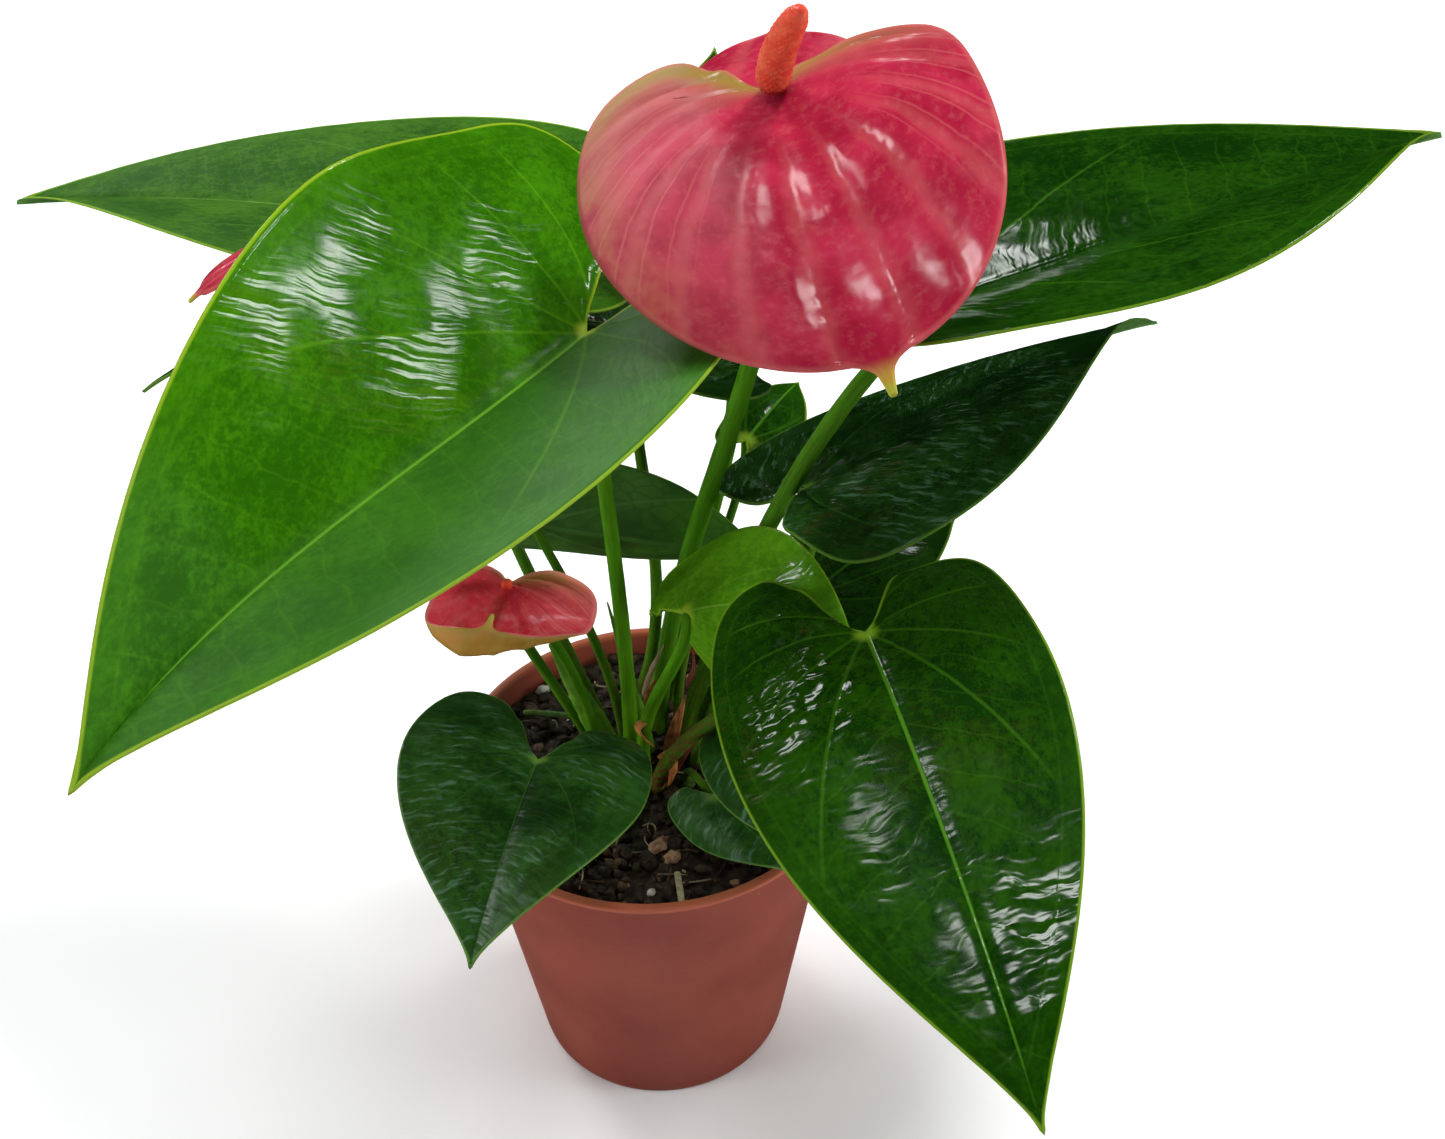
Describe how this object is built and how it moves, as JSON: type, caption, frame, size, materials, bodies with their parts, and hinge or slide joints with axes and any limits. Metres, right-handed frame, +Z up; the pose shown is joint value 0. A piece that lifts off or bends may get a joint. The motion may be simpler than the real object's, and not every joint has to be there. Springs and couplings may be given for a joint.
{
  "type": "potted flamingo flower",
  "caption": "Potted flamingo flower with glossy heart-shaped leaves and red blooms on slender stalks, rooted in peat in a round tapered terracotta-coloured plastic pot.",
  "frame": {"origin": "centre of the pot's flat base", "axes": "+Z straight up the pot's axis, -Y towards the side the picture shows, +X to the right of it"},
  "size_m": [0.3152, 0.2399, 0.2583],
  "materials": {
    "pot": "satin terracotta-coloured plastic with a fine mould grain",
    "peat": "loose damp peat with bark and root bits",
    "leaf": "glossy leathery leaf with a waxy, slightly blistered face",
    "young_leaf": "glossy bright green leaf with a pale margin",
    "spathe": "waxy glossy pink-red spathe with lighter veins",
    "spadix": "matt orange-red spadix with a fine beaded face",
    "bloom_stalk": "smooth satin green stalk",
    "green_sheath": "soft pale green sheath",
    "dry_sheath": "dry papery brown sheath"
  },
  "bodies": {
    "root": {"pot": "pot", "soil": "peat", "leaf_01": "young_leaf", "leaf_02": "leaf", "leaf_03": "leaf", "leaf_04": "leaf", "leaf_05": "leaf", "leaf_06": "young_leaf", "leaf_07": "leaf", "leaf_08": "leaf", "leaf_09": "leaf", "leaf_10": "leaf", "leaf_11": "leaf", "leaf_12": "leaf", "leaf_13": "leaf", "leaf_14": "leaf", "flower_1_spathe": "spathe", "flower_1_spadix": "spadix", "flower_1_stalk": "bloom_stalk", "flower_2_spathe": "spathe", "flower_2_spadix": "spadix", "flower_2_stalk": "bloom_stalk", "flower_3_spathe": "spathe", "flower_3_spadix": "spadix", "flower_3_stalk": "bloom_stalk", "flower_4_spathe": "spathe", "flower_4_spadix": "spadix", "flower_4_stalk": "bloom_stalk", "sheath_green": "green_sheath", "sheath_spear": "green_sheath", "sheath_brown_1": "dry_sheath", "sheath_brown_2": "dry_sheath"}
  },
  "joints": []
}
